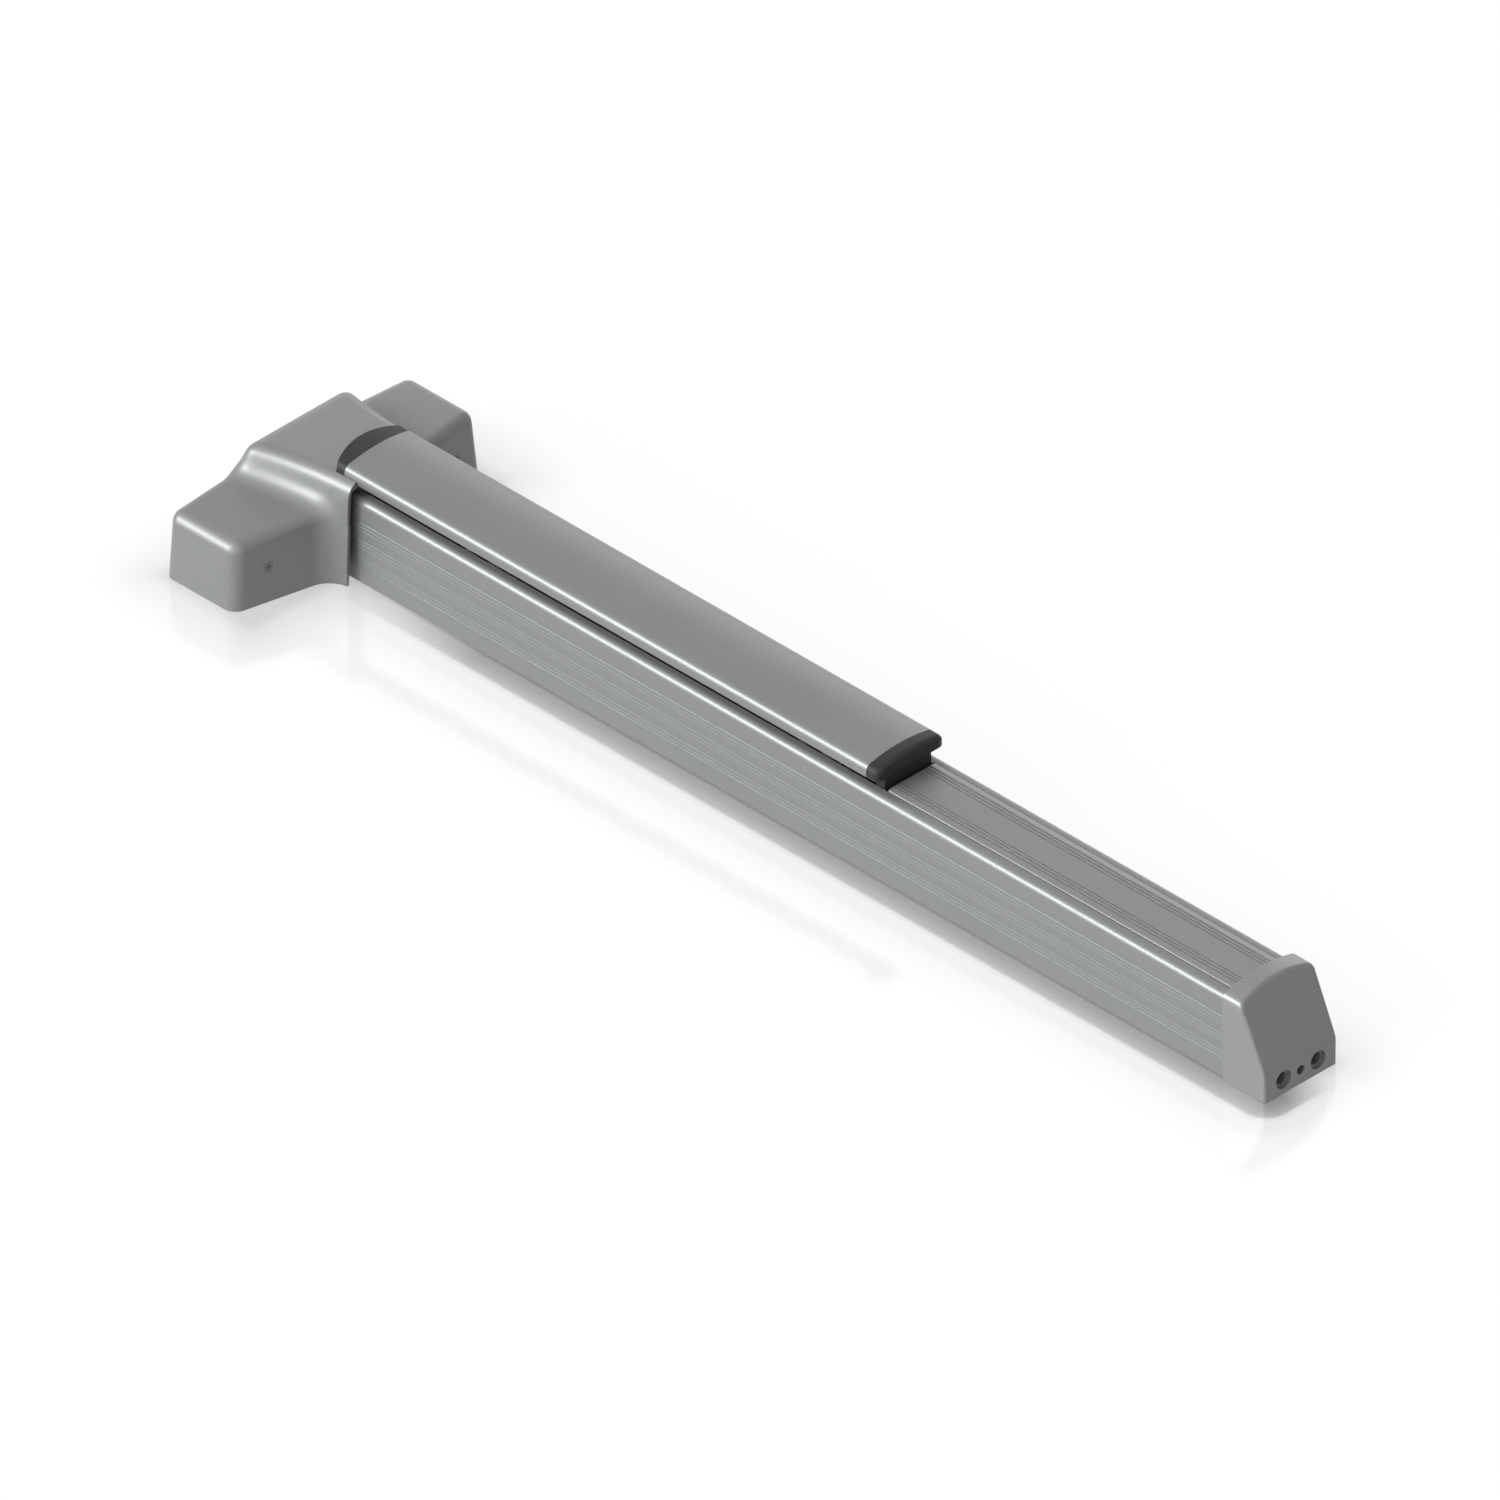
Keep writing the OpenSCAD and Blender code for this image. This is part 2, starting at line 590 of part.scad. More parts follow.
module crank(c) {
    color(zinc) difference() {
        union() {
            y_rod(c, crank_z, 6.5, -5, 5);
            for (p = [push_pin, pull_pin]) {
                crank_arm(c, p, -5, -2);
                crank_arm(c, p, 2, 5);
            }
        }
        y_rod(c, crank_z, PIN_R + RUN, -20, 20);
        for (p = [push_pin, pull_pin]) y_rod(c + p.x, crank_z + p.y, SMALL_PIN_R, -20, 20);
    }
}

module front_crank() { crank(front_x); }
module rear_crank() { crank(rear_x); }

module crank_pins(c) {
    color(steel) for (p = [push_pin, pull_pin]) y_rod(c + p.x, crank_z + p.y, SMALL_PIN_R, -5.3, 5.3);
}

module front_crank_pins() { crank_pins(front_x); }
module rear_crank_pins() { crank_pins(rear_x); }

// Bracket inside the push bar, with a tongue to the crank and a foot on the spring
foot_z = 60;
bracket_z = bar_low + bar_wall;
bracket_half = bar_half - bar_wall - 0.6;
lip_inner = bar_half - 9.2;

module bar_bracket(c) {
    pin_x = c + push_pin.x;
    pin_z = crank_z + push_pin.y;
    color(steel) difference() {
        union() {
            block([c - 32, -bracket_half, bracket_z], [c + 44, bracket_half, bracket_z + 2.5]);
            block([pin_x - 6, -1.5, pin_z - 5], [pin_x + 5, 1.5, bracket_z + 1]);
            block([c + spring_dx - 6, -1.5, foot_z + 1], [c + spring_dx + 6, 1.5, bracket_z + 1]);
            translate([c + spring_dx, 0, foot_z]) cylinder(r = 7, h = 2);
        }
        y_slot(c - push_arm, pin_x, pin_z, pin_z, SMALL_PIN_R + RUN, -5, 5);
    }
}

module front_bar_bracket() { bar_bracket(front_x); }
module rear_bar_bracket() { bar_bracket(rear_x); }

module bumpers() {
    color(black) for (c = crank_places)
        translate([c + 36.5, 0, bracket_z - 7.2]) cylinder(r = 5, h = 7.2);
}

module spring(c) {
    color(steel) translate([c + spring_dx, 0, seat_z + 0.8]) coil(8, 5.4, 0.7, foot_z - seat_z - 1.6, 12, 6);
}

module front_spring() { spring(front_x); }
module rear_spring() { spring(rear_x); }

// The bar's section: a shallow crown, rounded shoulders and lips turned in below
crown = 2.4;
function bar_right(g) =
    let (h = bar_half - g, top = bar_top - g, r = 5.2 - g, rs = 1.5)
    let (edge_y = h - r, shoulder = bar_shoulder - g)
    let (R = (edge_y * edge_y + crown * crown) / (2 * crown), a = asin(edge_y / R))
    concat(arc([0, top - R], R, 90, 90 - a, 8), arc([edge_y, shoulder - r], r, 80, 0, 6));
function bar_outline(g, low) =
    let (right = concat(bar_right(g), [[bar_half - g, low + 2.4], [bar_half - g - 0.7, low + 0.7],
        [bar_half - g - 2.4, low]]))
    concat(right, mirrored(right));

module push_bar() {
    color(paint) difference() {
        along_x(bar_x0, bar_x1) polygon(bar_outline(0, bar_low));
        along_x(bar_x0 - 1, bar_x1 + 1) polygon(let (right = concat(bar_right(bar_wall),
            [[bar_half - bar_wall, bracket_z], [lip_inner, bracket_z], [lip_inner, bar_low - 1]]))
            concat(right, mirrored(right)));
    }
}

module bar_plug(x0, x1) {
    block([x0, 5.2 - bar_half, bracket_z], [x1, bar_half - 5.2, bracket_z + 4]);
}

module bar_head_cap() {
    color(black) union() {
        intersection() {
            along_x(head_cap_x - 1, bar_x0) polygon(bar_outline(0, bar_low));
            linear_extrude(100) polygon(bow_plan(0, bar_x0 + 1));
        }
        bar_plug(bar_x0 - 0.1, bar_x0 + 9);
    }
}

module bar_tail_cap() {
    x1 = bar_x1 + 9.8;
    color(black) union() {
        intersection() {
            along_x(bar_x1, x1) polygon(bar_outline(0, bar_low));
            linear_extrude(100) polygon(concat([[bar_x1 - 1, bar_half + 1], [bar_x1 - 1, -bar_half - 1]],
                [[x1 - 2.5, -bar_half - 1]], arc([x1 - 2.5, 2.5 - bar_half], 2.5, -90, 0, 4),
                arc([x1 - 2.5, bar_half - 2.5], 2.5, 0, 90, 4), [[x1 - 2.5, bar_half + 1]]));
        }
        block([bar_x1, 0.6 - slot_half, rail_h - 4], [bar_x1 + 7.1, slot_half - 0.6, bar_low + 0.5]);
        bar_plug(bar_x1 - 9, bar_x1 + 0.1);
    }
}

rail();
filler_plate();
end_cap();
end_cap_screws();
end_bracket();
tongue_screws();
head_cover();
cover_screws();
chassis_plate();
splice_plate();
splice_screws();
latch_frame();
latch_frame_rivets();
latch_pin();
latch_bolt();
latch_pull_pin();
deadlatch();
latch_spring();
drive_link();
front_base();
rear_base();
base_screws();
front_crank_shaft();
rear_crank_shaft();
front_crank();
rear_crank();
front_crank_pins();
rear_crank_pins();
front_bar_bracket();
rear_bar_bracket();
bumpers();
front_spring();
rear_spring();
push_bar();
bar_head_cap();
bar_tail_cap();
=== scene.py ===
import bpy, bmesh, math
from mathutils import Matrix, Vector


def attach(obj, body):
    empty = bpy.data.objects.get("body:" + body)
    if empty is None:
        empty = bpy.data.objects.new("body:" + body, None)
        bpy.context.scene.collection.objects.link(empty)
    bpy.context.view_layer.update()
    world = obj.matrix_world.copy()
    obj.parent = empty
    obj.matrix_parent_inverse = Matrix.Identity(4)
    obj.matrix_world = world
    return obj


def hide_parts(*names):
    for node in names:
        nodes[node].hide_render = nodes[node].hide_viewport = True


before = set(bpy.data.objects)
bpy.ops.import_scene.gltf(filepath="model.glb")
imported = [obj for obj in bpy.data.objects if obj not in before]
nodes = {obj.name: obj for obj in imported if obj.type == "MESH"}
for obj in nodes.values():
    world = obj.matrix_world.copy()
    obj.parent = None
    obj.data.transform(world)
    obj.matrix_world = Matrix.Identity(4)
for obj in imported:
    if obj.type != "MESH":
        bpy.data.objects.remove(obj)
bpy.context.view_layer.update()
bpy.ops.object.select_all(action='DESELECT')
mm = 0.001
print("frame loaded with", len(nodes), "nodes")


# the camera of the photograph

view = {
    'centre': (0.49742, -0.15182, 0.16308),
    'back': (0.5795, -0.5795, 0.5730),
    'distance': 2.6,
    'tilt': 55.04,
    'turn': 45.0,
    'width': 0.8923,
}

bpy.ops.object.camera_add(location=Vector(view['centre']) + Vector(view['back']) * view['distance'],
                          rotation=(math.radians(view['tilt']), 0, math.radians(view['turn'])))
camera = bpy.context.active_object
camera.data.type = 'ORTHO'
camera.data.ortho_scale = view['width']
bpy.context.scene.camera = camera
print("camera placed")


# small helpers for modelling

def only(o):  # one object selected and active
    bpy.ops.object.select_all(action='DESELECT')
    o.select_set(True)
    bpy.context.view_layer.objects.active = o


def openMesh(o):  # edit mode, with all of the mesh selected
    only(o)
    bpy.ops.object.mode_set(mode='EDIT')
    bpy.ops.mesh.select_all(action='SELECT')


def closeMesh():
    bpy.ops.object.mode_set(mode='OBJECT')


def closeSolid():  # normals outwards, then out of edit mode
    bpy.ops.mesh.select_all(action='SELECT')
    bpy.ops.mesh.normals_make_consistent(inside=False)
    closeMesh()


def selectEdges(o, wanted):
    mesh = bmesh.from_edit_mesh(o.data)
    bpy.ops.mesh.select_all(action='DESELECT')
    for e in mesh.edges:
        if wanted(e):
            e.select_set(True)
    bmesh.update_edit_mesh(o.data)


def apply(o, kind, **settings):  # adds a modifier and applies it at once
    m = o.modifiers.new(kind.lower(), kind)
    for k, v in settings.items():
        setattr(m, k, v)
    only(o)
    bpy.ops.object.modifier_apply(modifier=m.name)


def settle(o, name, angle=30, level=False):  # place goes into the mesh, smooth shading up to an angle
    o.name = name
    only(o)
    bpy.ops.object.transform_apply(location=True, rotation=True, scale=True)
    mesh = bmesh.new()
    mesh.from_mesh(o.data)
    for e in mesh.edges:
        e.smooth = e.calc_face_angle(0) < math.radians(angle)
    for f in mesh.faces:
        f.smooth = True
    mesh.to_mesh(o.data)
    mesh.free()
    if level:  # flat faces keep one shade beside their rounded edges
        apply(o, 'WEIGHTED_NORMAL', mode='FACE_AREA', weight=100, keep_sharp=True)


def copyOf(nodeName):  # a merged copy of a CAD node, ready to be dressed
    o = bpy.data.objects.new(nodeName + "Copy", nodes[nodeName].data.copy())
    bpy.context.scene.collection.objects.link(o)
    openMesh(o)
    bpy.ops.mesh.remove_doubles(threshold=0.002 * mm)
    bpy.ops.mesh.dissolve_limited(angle_limit=math.radians(0.5))
    closeMesh()
    return o


def coat(o, material):
    o.data.materials.clear()
    o.data.materials.append(material)


# shader maths on sockets

class Wire:
    def __init__(self, kit, socket):
        self.kit = kit
        self.socket = socket

    def math(self, operation, other=None, swap=False):
        values = [self] if other is None else [self, other]
        if swap:
            values.reverse()
        return self.kit.node('ShaderNodeMath', {'operation': operation}, dict(enumerate(values)))

    def limited(self):  # kept between 0 and 1
        return self.math('MAXIMUM', 0).math('MINIMUM', 1)

    def __add__(self, other):
        return self.math('ADD', other)

    def __sub__(self, other):
        return self.math('SUBTRACT', other)

    def __rsub__(self, other):
        return self.math('SUBTRACT', other, True)

    def __mul__(self, other):
        return self.math('MULTIPLY', other)

    def __pow__(self, other):
        return self.math('POWER', other)

    def __lt__(self, other):
        return self.math('LESS_THAN', other)

    def __gt__(self, other):
        return self.math('GREATER_THAN', other)

    def __abs__(self):
        return self.math('ABSOLUTE')


class Kit:
    def __init__(self, name=None, tree=None):
        if name:
            self.material = bpy.data.materials.new(name)
            self.material.use_nodes = True
            tree = self.material.node_tree
        self.tree = tree
        self.tree.nodes.clear()

    def node(self, kind, settings=None, inputs=None, output=0):
        n = self.tree.nodes.new(kind)
        for k, v in (settings or {}).items():
            setattr(n, k, v)
        for k, v in (inputs or {}).items():
            if isinstance(v, Wire):
                self.tree.links.new(v.socket, n.inputs[k])
            else:
                n.inputs[k].default_value = v
        return Wire(self, n.outputs[output]) if n.outputs else None

    def ramp(self, factor, stops):
        n = self.tree.nodes.new('ShaderNodeValToRGB')
        band = n.color_ramp
        while len(band.elements) < len(stops):
            band.elements.new(0.5)
        for element, (place, shade) in zip(band.elements, stops):
            element.position = place
            element.color = (*shade, 1) if isinstance(shade, tuple) else (shade, shade, shade, 1)
        self.tree.links.new(factor.socket, n.inputs['Fac'])
        return Wire(self, n.outputs['Color'])

    def vary(self, noise, low, high):  # from one tone to another over the middle of a noise
        return self.ramp(noise, [(0.3, low), (0.7, high)])

    def place(self, scale=(1, 1, 1)):  # object coordinates, stretched for the grain
        coordinates = self.node('ShaderNodeTexCoord', output='Object')
        return self.node('ShaderNodeMapping', {}, {'Vector': coordinates, 'Scale': scale})

    def axes(self):  # object coordinates as three numbers
        parts = self.tree.nodes.new('ShaderNodeSeparateXYZ')
        self.tree.links.new(self.node('ShaderNodeTexCoord', output='Object').socket, parts.inputs[0])
        return [Wire(self, s) for s in parts.outputs]

    def noise(self, where, scale, detail=3.0, roughness=0.5):
        return self.node('ShaderNodeTexNoise', {}, {'Vector': where, 'Scale': scale, 'Detail': detail,
                                                    'Roughness': roughness}, output='Fac')

    def mix(self, factor, a, b):
        return self.node('ShaderNodeMix', {'data_type': 'RGBA'}, {'Factor': factor, 6: a, 7: b}, output=2)

    def bump(self, height, strength, distance):
        return self.node('ShaderNodeBump', {}, {'Height': height, 'Strength': strength,
                                                'Distance': distance}, output='Normal')

    def ray(self, kind):  # 1 on rays of this kind
        return self.node('ShaderNodeLightPath', output=f"Is {kind} Ray")

    def seen(self):  # 1 where the white surroundings are looked at, straight or in a reflection
        looked = self.ray('Camera').math('MAXIMUM', self.ray('Glossy'))
        return looked.math('MAXIMUM', self.ray('Transmission'))

    def finish(self, sockets):
        shader = self.node('ShaderNodeBsdfPrincipled', {}, sockets)
        self.node('ShaderNodeOutputMaterial', {}, {'Surface': shader})
        return self.material


def toned(color, factor):
    return tuple(c * factor for c in color)


# silver paint over metal: faint lines along the grain, and painted light in the drawn grooves: a painted
# highlight in the rail's side grooves, painted shade in the filler's top grooves

paintLook = {
    'color': (0.19, 0.197, 0.2),
    'shade': 0.05,
    'stretch': (3, 900, 900),
    'lineDetail': 4.0,
    'lineRoughness': 0.6,
    'lineShare': 0.6,
    'cloudScale': 14.0,
    'cloudShare': 0.4,
    'roughness': 0.4,
    'wear': 0.1,
    'metal': 0.2,
    'grain': 1.0,
    'bump': 0.05,
    'bumpDepth': 0.0002,
    'paintedGrooveShading': 1.0,
    'grooveRoughness': 0.75,
}
# the rail's grooves are painted lighter as a highlight, the filler's are painted darker as shade
railLook = {**paintLook, 'shade': 0.03, 'grain': 0.5, 'paintedGrooveShading': 1.12}
fillerLook = {**railLook, 'color': (0.205, 0.212, 0.215), 'paintedGrooveShading': 0.42}
coverLook = {**paintLook, 'color': (0.198, 0.205, 0.208), 'stretch': (12, 420, 260), 'shade': 0.04,
             'grain': 0.4, 'roughness': 0.44}
capLook = {**paintLook, 'color': (0.222, 0.229, 0.232), 'stretch': (160, 160, 160), 'shade': 0.03,
           'grain': 0.3}
screwLook = {**paintLook, 'color': (0.15, 0.155, 0.157), 'stretch': (300, 300, 300), 'shade': 0.1,
             'grain': 0.3, 'roughness': 0.46}


def satinPaint(name, look, grooves=None):
    k = Kit(name)
    lines = k.noise(k.place(look['stretch']), 1.0, look['lineDetail'], look['lineRoughness'])
    cloud = k.noise(k.place(), look['cloudScale'], 2.0)
    color = k.vary(lines * look['lineShare'] + cloud * look['cloudShare'],
                   toned(look['color'], 1 - look['shade']), toned(look['color'], 1 + look['shade']))
    rough = lines * look['wear'] + (look['roughness'] - look['wear'] / 2)
    if grooves:
        inside = grooves(k)
        # the grooves get painted light: a painted highlight on the rail's sides, painted shade on the
        # filler's top
        color = k.mix(inside, color, (*toned(look['color'], look['paintedGrooveShading']), 1))
        rough = rough * (1 - inside) + inside * look['grooveRoughness']
    return k.finish({'Base Color': color, 'Metallic': look['metal'], 'Roughness': rough,
                     'Normal': k.bump(lines, look['bump'] * look['grain'], look['bumpDepth'])})


groove = {
    'sideY': (27.6, 28.04),
    'sideZ': (14, 43.5),
    'topY': 15.4,
    'topZ': (61.0, 61.54),
}


def between(wire, low, high):
    return (wire > low * mm) * (wire < high * mm)


def sideGrooves(k):  # just under the rail's side faces, from the lowest to the highest groove: where the painted highlight goes
    y, z = k.axes()[1:]
    return between(abs(y), *groove['sideY']) * between(z, *groove['sideZ'])


def topGrooves(k):  # just under the filler's top, inside its shoulders: where the painted shade goes
    y, z = k.axes()[1:]
    return between(z, *groove['topZ']) * (abs(y) < groove['topY'] * mm)


# black plastic, plated and cast metal, rubber

nylonLook = {
    'low': (0.029, 0.03, 0.03),
    'high': (0.036, 0.037, 0.037),
    'pebbleScale': 1400.0,
    'cloudScale': 30.0,
    'roughness': 0.42,
    'wear': 0.14,
    'specular': 0.13,
    'bump': 0.12,
    'bumpDepth': 0.0001,
}

steelLook = {
    'stretch': (300, 300, 2200),
    'streakShare': 0.3,
    'cloudScale': 60.0,
    'cloudShare': 0.7,
    'dark': 0.86,
    'wear': 0.16,
    'bump': 0.05,
    'bumpDepth': 0.0001,
}

rubberLook = {
    'low': 0.02,
    'high': 0.032,
    'speckScale': 900.0,
    'roughness': 0.62,
    'wear': 0.1,
    'bump': 0.1,
    'bumpDepth': 0.0001,
}


def blackNylon(name, look=nylonLook):
    k = Kit(name)
    pebble = k.noise(k.place(), look['pebbleScale'], 2.0)
    cloud = k.noise(k.place(), look['cloudScale'], 2.0)
    return k.finish({'Base Color': k.vary(cloud, look['low'], look['high']), 'Metallic': 0.0,
                     'Roughness': pebble * look['wear'] + look['roughness'],
                     'Specular IOR Level': look['specular'],
                     'Normal': k.bump(pebble, look['bump'], look['bumpDepth'])})


def platedSteel(name, color, roughness, look=steelLook):
    k = Kit(name)
    streak = k.noise(k.place(look['stretch']), 1.0, 2.0)
    cloud = k.noise(k.place(), look['cloudScale'], 3.0)
    shade = k.vary(cloud * look['cloudShare'] + streak * look['streakShare'],
                   toned(color, look['dark']), color)
    return k.finish({'Base Color': shade, 'Metallic': 1.0, 'Roughness': cloud * look['wear'] + roughness,
                     'Normal': k.bump(streak, look['bump'], look['bumpDepth'])})


def softRubber(name, look=rubberLook):
    k = Kit(name)
    speck = k.noise(k.place(), look['speckScale'], 2.0)
    return k.finish({'Base Color': k.vary(speck, look['low'], look['high']), 'Metallic': 0.0,
                     'Roughness': speck * look['wear'] + look['roughness'],
                     'Normal': k.bump(speck, look['bump'], look['bumpDepth'])})


barPaint = satinPaint("barPaint", paintLook)
railPaint = satinPaint("railPaint", railLook, sideGrooves)
fillerPaint = satinPaint("fillerPaint", fillerLook, topGrooves)
coverPaint = satinPaint("coverPaint", coverLook)
capPaint = satinPaint("capPaint", capLook)
screwPaint = satinPaint("screwPaint", screwLook)
nylon = blackNylon("blackNylon")
zincPlate = platedSteel("zincPlate", (0.56, 0.56, 0.55), 0.24)
castZinc = platedSteel("castZinc", (0.5, 0.49, 0.47), 0.34)
springWire = platedSteel("springWire", (0.32, 0.32, 0.34), 0.2)
rubber = softRubber("softRubber")
print("finishes made")


# what cutters and pieces share

def solidOf(points, along, low, high):  # a closed prism from an outline, run along an axis
    bpy.ops.mesh.primitive_circle_add(vertices=len(points), radius=1, fill_type='NGON')
    o = bpy.context.active_object
    axis = 'XYZ'.index(along)
    for v, p in zip(o.data.vertices, points):
        spot = list(p)
        spot.insert(axis, low)
        v.co = [c * mm for c in spot]
    push = [0, 0, 0]
    push[axis] = 1
    openMesh(o)
    bpy.ops.mesh.extrude_region_move(TRANSFORM_OT_translate={'value': Vector(push) * (high - low) * mm})
    closeSolid()
    return o


def rodOf(start, direction, radius, length, endRadius=None, sides=64):
    middle = Vector(start) + Vector(direction).normalized() * length / 2
    bpy.ops.mesh.primitive_cone_add(vertices=sides, depth=length * mm, radius1=radius * mm,
                                    radius2=(radius if endRadius is None else endRadius) * mm,
                                    location=middle * mm,
                                    rotation=Vector(direction).to_track_quat('Z', 'Y').to_euler())
    o = bpy.context.active_object
    only(o)
    bpy.ops.object.transform_apply(location=True, rotation=True, scale=True)
    return o


def combine(o, tool, operation='DIFFERENCE'):
    apply(o, 'BOOLEAN', operation=operation, object=tool, solver='EXACT')
    bpy.data.objects.remove(tool)


def rounded(distances, r):  # depth in the space that several faces share, its edges rounded
    return min(max(distances) + r, 0) + math.sqrt(sum(max(d + r, 0) ** 2 for d in distances)) - r


def closer(t, peaks):  # a weight with peaks, each with its place, spread and height
    return sum((height * math.exp(-((t - place) / spread) ** 2) for place, spread, height in peaks), 1)


def evenPlaces(low, high, count, weight):  # places spread so that each step holds the same weight
    fine = 1200
    sums = [0.0]
    for i in range(fine):
        sums.append(sums[-1] + weight(low + (high - low) * (i + 0.5) / fine))
    places = []
    j = 0
    for i in range(count):
        goal = sums[-1] * i / (count - 1)
        while j < fine - 1 and sums[j + 1] < goal:
            j += 1
        share = (goal - sums[j]) / max(sums[j + 1] - sums[j], 1e-9)
        places.append(low + (high - low) * (j + min(share, 1)) / fine)
    return places


def leaveReach(low, high, rounds, depthAt):  # how far out a ray leaves a form
    for _ in range(rounds):
        reach = (low + high) / 2
        if depthAt(reach) < 0:
            low = reach
        else:
            high = reach
    return reach


def castSkin(stations, angles, pointAt):  # a grid of points laid on a form, its two ends closed
    wide = len(stations)
    bpy.ops.mesh.primitive_grid_add(x_subdivisions=wide - 1, y_subdivisions=len(angles) - 1, size=2)
    o = bpy.context.active_object
    for v, p in zip(o.data.vertices, [pointAt(s, a) for a in angles for s in stations]):
        v.co = Vector(p) * mm
    openMesh(o)
    for column in (0, wide - 1):
        mesh = bmesh.from_edit_mesh(o.data)
        bpy.ops.mesh.select_all(action='DESELECT')
        mesh.verts.ensure_lookup_table()
        for row in range(len(angles)):
            mesh.verts[row * wide + column].select_set(True)
        bmesh.update_edit_mesh(o.data)
        bpy.ops.mesh.edge_face_add()
    closeSolid()
    return o


# the head cover: a close grid laid over the same rounded blocks as the casting

cover = {
    'stations': 150,
    'stationPeaks': [(38, 8, 4), (104.6, 1.2, 26), (99, 5, 4)],
    'rays': 110,
    'rayPeaks': [(0.85, 0.28, 3), (2.1, 0.28, 2)],
    'coreX': -8.0,
    'reach': (2.0, 130.0),
    'rounds': 22,
    'wall': 2.2,
    'openX': 43.0,
    'headX': -42.7,
    'headY': 104.7,
    'endDraft': 0.084,
    'wingX': 15.5,
    'wingFar': 105,
    'wingSweep': 0.234,
    'wingDraft': 0.07,
    'wingTop': 44.5,
    'wingRise': 0.0743,
    'wingRound': 7.3,
    'blockX': 58,
    'blockY': 36.4,
    'blockFlare': 0.00163,
    'blockDraft': 0.015,
    'blockTop': 72.5,
    'blockFall': 0.059,
    'blockLean': 0.054,
    'blockRound': 10.0,
    'valley': 13.0,
}

mouth = {
    'farX': -60,
    'nearX': -33,
    'half': 16,
    'low': -1,
    'top': 51.5,
}

bow = {
    'start': 18.6,
    'half': 28.2,
    'depth': 7.4,
    'gap': 0.6,
    'far': 60,
    'low': 50,
    'top': 90,
    'steps': 48,
}

coverScrew = {
    'y': 79.0,
    'z': 24.0,
    'turn': 13.2,
    'draft': 4,
    'holeBack': 6,
    'holeRadius': 2.3,
    'holeLength': 10,
    'sinkBack': 1.9,
    'sinkRadius': 2.2,
    'sinkLength': 2.4,
    'sinkMouth': 4.5,
}


def wingFront(y, z):
    return cover['wingX'] + cover['wingSweep'] * (cover['wingFar'] - y) - cover['wingDraft'] * z


def wingForm(x, y, z):
    return rounded([cover['headX'] - x,
                    x - wingFront(y, z),
                    y - (cover['headY'] - cover['endDraft'] * z),
                    z - (cover['wingTop'] + cover['wingRise'] * (cover['wingFar'] - y))], cover['wingRound'])


def blockForm(x, y, z):
    behind = cover['openX'] - min(x, cover['openX'])
    return rounded([cover['headX'] + cover['blockLean'] * z - x,
                    y - (cover['blockY'] + cover['blockFlare'] * behind * behind - cover['blockDraft'] * z),
                    z - (cover['blockTop'] - cover['blockFall'] * behind),
                    x - cover['blockX']], cover['blockRound'])


def coverForm(x, y, z):
    a = blockForm(x, abs(y), z)
    b = wingForm(x, abs(y), z)
    r = cover['valley']
    return max(r, min(a, b)) - math.hypot(max(r - a, 0), max(r - b, 0))


def coverPoint(station, angle):  # where a ray from the core leaves the form
    def spot(reach):
        z = reach * math.sin(angle)
        return (cover['coreX'] + reach * math.cos(angle),
                station * (1 - cover['endDraft'] * z / cover['headY']), z)

    return spot(leaveReach(*cover['reach'], cover['rounds'], lambda reach: coverForm(*spot(reach))))


def bowPlan():  # plan of the room for the bar's bowed head end
    half, depth, gap = bow['half'], bow['depth'], bow['gap']
    r = (half * half + depth * depth) / (2 * depth)
    a = math.asin(half / r)
    turns = [math.pi - a + 2 * a * i / bow['steps'] for i in range(bow['steps'] + 1)]
    arc = [(bow['start'] + r + (r + gap) * math.cos(t), (r + gap) * math.sin(t)) for t in turns]
    return arc + [(bow['far'], -half - gap), (bow['far'], half + gap)]


def mouthPlan():  # plan of the opening that the latch comes out of
    return [(mouth['farX'], -mouth['half']), (mouth['nearX'], -mouth['half']),
            (mouth['nearX'], mouth['half']), (mouth['farX'], mouth['half'])]


def screwSeats():  # place and outward direction of each cover screw
    y, z = coverScrew['y'], coverScrew['z']
    draft = math.radians(coverScrew['draft'])
    for side in (-1, 1):
        turn = math.radians(coverScrew['turn']) * side
        yield ((wingFront(y, z), side * y, z),
               (math.cos(draft) * math.cos(turn), math.cos(draft) * math.sin(turn), math.sin(draft)))
        yield (cover['headX'], side * y, z), (-1, 0, 0)


def makeHeadCover():
    end = cover['headY'] - 0.05
    stations = evenPlaces(-end, end, cover['stations'], lambda y: closer(abs(y), cover['stationPeaks']))
    rays = evenPlaces(0, math.pi, cover['rays'], lambda a: closer(a, cover['rayPeaks']))
    o = castSkin(stations, rays, coverPoint)
    openMesh(o)
    bpy.ops.mesh.bisect(plane_co=(cover['openX'] * mm, 0, 0), plane_no=(1, 0, 0), clear_outer=True)
    closeMesh()
    apply(o, 'SOLIDIFY', thickness=cover['wall'] * mm, offset=-1, use_even_offset=True)
    for v in o.data.vertices:  # the wall's inner rim ends level with the door
        v.co.z = max(v.co.z, 0)
    combine(o, solidOf(bowPlan(), 'Z', bow['low'], bow['top']))
    combine(o, solidOf(mouthPlan(), 'Z', mouth['low'], mouth['top']))
    for place, out in screwSeats():
        hole = Vector(place) - Vector(out) * coverScrew['holeBack']
        sink = Vector(place) - Vector(out) * coverScrew['sinkBack']
        combine(o, rodOf(hole, out, coverScrew['holeRadius'], coverScrew['holeLength']))
        combine(o, rodOf(sink, out, coverScrew['sinkRadius'], coverScrew['sinkLength'],
                         endRadius=coverScrew['sinkMouth']))
    settle(o, "headCover", 32)
    coat(o, coverPaint)
    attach(o, "case")
    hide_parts("head_cover")
    print("head cover made", len(o.data.polygons))


makeHeadCover()


# the end cap: one casting skin with crowned top and sloping face

